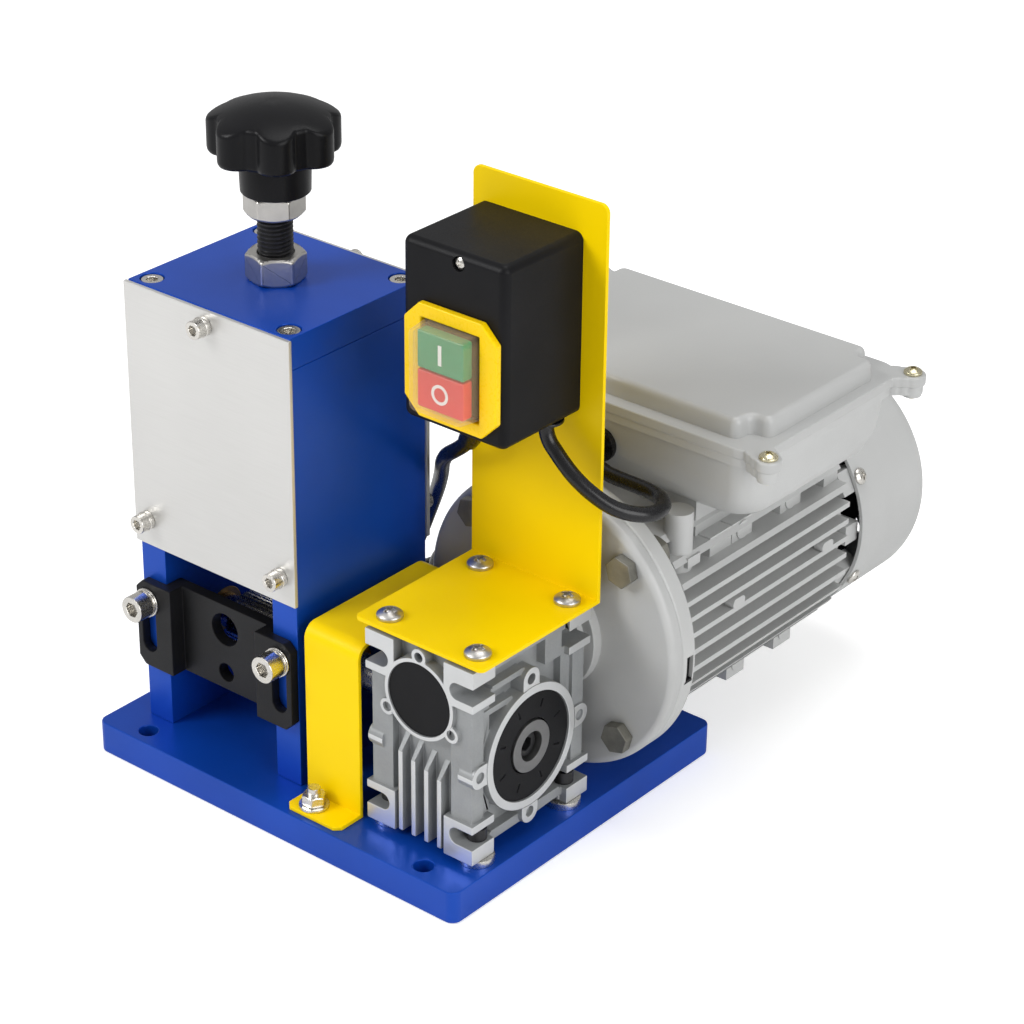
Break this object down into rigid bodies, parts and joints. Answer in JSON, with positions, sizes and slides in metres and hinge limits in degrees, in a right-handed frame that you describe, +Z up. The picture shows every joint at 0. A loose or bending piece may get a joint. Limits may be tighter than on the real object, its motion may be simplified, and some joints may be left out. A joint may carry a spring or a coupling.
{
  "type": "electric wire stripper",
  "caption": "Bench wire stripper: a motor and worm gearbox turn a feed roller under a round blade, set by a knob; slotted wire guide, switch box and guards",
  "frame": {"origin": "middle of the underside of the base plate", "axes": "X to the motor side of the gearbox, -Y to the front where the wire goes in, +Z up"},
  "size_m": [0.2811, 0.3268, 0.3153],
  "materials": {
    "blue_paint": "satin",
    "cover_steel": "brushed",
    "bright_steel": "bright",
    "bronze": "plain",
    "yellow_paint": "gloss",
    "cast_alloy": "cast",
    "grey_paint": "satin",
    "black_plastic": "matt",
    "black_steel": "satin",
    "yellow_plastic": "gloss",
    "clear_boot": "clear",
    "black_rubber": "matt",
    "stator_core": "plain",
    "white_plastic": "plain",
    "green_plastic": "gloss",
    "red_plastic": "gloss"
  },
  "bodies": {
    "frame": {"base_plate": "blue_paint", "left_side_wall": "blue_paint", "right_side_wall": "blue_paint", "top_plate": "blue_paint", "wall_screws": "bright_steel", "front_cover": "cover_steel", "rear_cover": "cover_steel", "cover_screws": "bright_steel", "guide_screws": "bright_steel", "shaft_bushes": "bronze", "shaft_guard": "yellow_paint", "guard_nuts": "bright_steel", "gearbox_housing": "cast_alloy", "worm_end_cap": "black_plastic", "output_covers": "black_plastic", "ball_bearings": "bright_steel", "input_flange": "cast_alloy", "flange_bolts": "bright_steel", "gearbox_bolts": "bright_steel", "switch_bracket": "yellow_paint", "bracket_screws": "bright_steel", "switch_box": "black_plastic", "switch_module": "black_plastic", "switch_escutcheon": "yellow_plastic", "switch_boot": "clear_boot", "switch_screw": "bright_steel", "lead_grommets": "black_rubber", "motor_lead": "black_rubber", "mains_lead": "black_rubber", "mains_coil": "black_rubber", "mains_plug": "black_rubber", "motor_frame": "grey_paint", "motor_flange": "grey_paint", "motor_rear_shield": "grey_paint", "stator": "stator_core", "fan_cowl": "grey_paint", "cowl_screws": "bright_steel", "terminal_box": "grey_paint", "terminal_lid": "grey_paint", "lid_screws": "bright_steel", "capacitor": "white_plastic"},
    "rotor": {"rotor": "bright_steel", "cooling_fan": "black_plastic", "worm": "bright_steel"},
    "drive": {"worm_wheel": "bronze", "output_shaft": "bright_steel", "feed_shaft": "bright_steel", "feed_roller": "bright_steel", "shaft_screw": "bright_steel"},
    "carriage": {"blade_carriage": "black_steel", "blade_axle": "bright_steel"},
    "blade": {"blade_wheel": "bright_steel"},
    "knob": {"adjusting_screw": "black_steel", "jam_nut": "bright_steel", "knob": "black_plastic"},
    "lock": {"lock_nut": "bright_steel"},
    "guide": {"wire_guide": "black_steel"},
    "start_button": {"start_button": "green_plastic"},
    "stop_button": {"stop_button": "red_plastic"}
  },
  "joints": [
    {"name": "motor_spin", "type": "hinge", "parent": "frame", "child": "rotor", "pos_m": [0.0746, 0, 0.092], "axis": [0, 1, 0], "continuous": true},
    {"name": "drive_spin", "type": "hinge", "parent": "frame", "child": "drive", "pos_m": [0, -0.0352, 0.062], "axis": [1, 0, 0], "continuous": true},
    {"name": "knob_turn", "type": "hinge", "parent": "carriage", "child": "knob", "pos_m": [-0.047, -0.0295, 0.2], "axis": [0, 0, 1], "range_deg": [-1980, 1440]},
    {"name": "carriage_slide", "type": "slide", "parent": "frame", "child": "carriage", "axis": [0, 0, 1], "range_m": [-0.0111, 0.0081]},
    {"name": "blade_spin", "type": "hinge", "parent": "carriage", "child": "blade", "pos_m": [-0.047, -0.0352, 0.112], "axis": [1, 0, 0], "continuous": true},
    {"name": "lock_nut_turn", "type": "hinge", "parent": "frame", "child": "lock", "pos_m": [-0.047, -0.0295, 0.245], "axis": [0, 0, 1], "range_deg": [0, 90]},
    {"name": "guide_slide", "type": "slide", "parent": "frame", "child": "guide", "axis": [0, 0, 1], "range_m": [0, 0.018]},
    {"name": "start_press", "type": "slide", "parent": "frame", "child": "start_button", "axis": [0, 1, 0], "range_m": [0, 0.003], "stiffness_N_per_m": 800, "springref_m": -0.001},
    {"name": "stop_press", "type": "slide", "parent": "frame", "child": "stop_button", "axis": [0, 1, 0], "range_m": [0, 0.003], "stiffness_N_per_m": 800, "springref_m": -0.001}
  ],
  "couplings": [
    {"joint": "drive_spin", "follows": "motor_spin", "ratio": 0.033333},
    {"joint": "carriage_slide", "follows": "knob_turn", "m_per_rad": 0.00031831}
  ]
}
